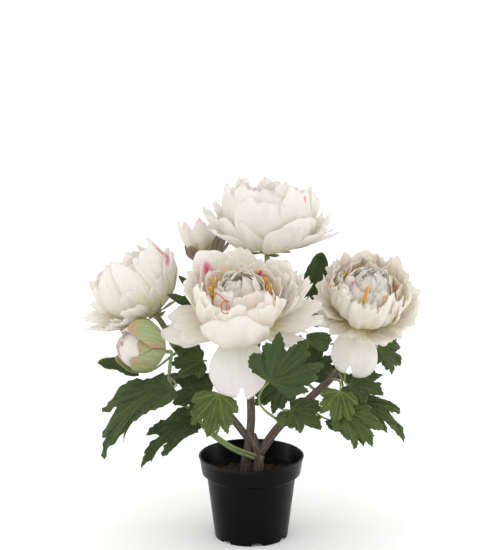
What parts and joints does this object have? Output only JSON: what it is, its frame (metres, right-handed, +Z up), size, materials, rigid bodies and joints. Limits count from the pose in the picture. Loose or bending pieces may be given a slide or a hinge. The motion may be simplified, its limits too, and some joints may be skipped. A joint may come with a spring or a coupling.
{
  "type": "potted peony",
  "caption": "Peony plant with open double blooms, closing buds and lobed leaves, growing from soil in a round tapered nursery pot that stands on its foot.",
  "frame": {"origin": "centre of the pot's foot, on the surface that the pot stands on", "axes": "+Z up along the pot's axis, -Y towards the viewer and the front bloom, +X to the right"},
  "size_m": [0.3853, 0.2507, 0.3983],
  "materials": {
    "petal": "soft matt ivory white, translucent, with fine veins",
    "peach_petal": "soft matt cream with a peach tint, translucent, with fine veins",
    "stamen": "powdery golden yellow to orange",
    "sepal": "matt green with pink-brown edges",
    "brown_sepal": "matt mauve-brown",
    "leaf": "satin dark green with pale veins",
    "light_leaf": "satin yellow-green with pale veins",
    "stem": "matt brown bark that turns to smooth green on the young shoots",
    "soil": "crumbly matt dark brown potting mix",
    "pot": "satin black thermoformed plastic"
  },
  "bodies": {
    "root": {"bud_back_petals": "petal", "bud_back_sepals": "brown_sepal", "bud_low_petals": "petal", "bud_low_sepals": "sepal", "calyx_front": "sepal", "calyx_left": "sepal", "calyx_right": "sepal", "calyx_top": "sepal", "leaf_back_centre": "leaf", "leaf_back_high": "leaf", "leaf_back_low_left": "leaf", "leaf_back_low_right": "leaf", "leaf_behind_front": "leaf", "leaf_behind_right": "leaf", "leaf_beneath": "leaf", "leaf_beside_bud": "leaf", "leaf_beside_right": "leaf", "leaf_between": "leaf", "leaf_bright": "light_leaf", "leaf_dark": "leaf", "leaf_far_right": "leaf", "leaf_front_low": "leaf", "leaf_front_right": "leaf", "leaf_light_right": "leaf", "leaf_low_centre": "leaf", "leaf_low_left": "leaf", "leaf_low_right": "leaf", "leaf_under_front": "leaf", "leaf_under_left": "leaf", "leaf_under_right": "leaf", "leaf_yellow": "light_leaf", "petals_front": "petal", "petals_left": "petal", "petals_right": "peach_petal", "petals_top": "petal", "pot": "pot", "soil": "soil", "stamens_front": "stamen", "stamens_left": "stamen", "stamens_right": "stamen", "stamens_top": "stamen", "stems": "stem"}
  },
  "joints": []
}
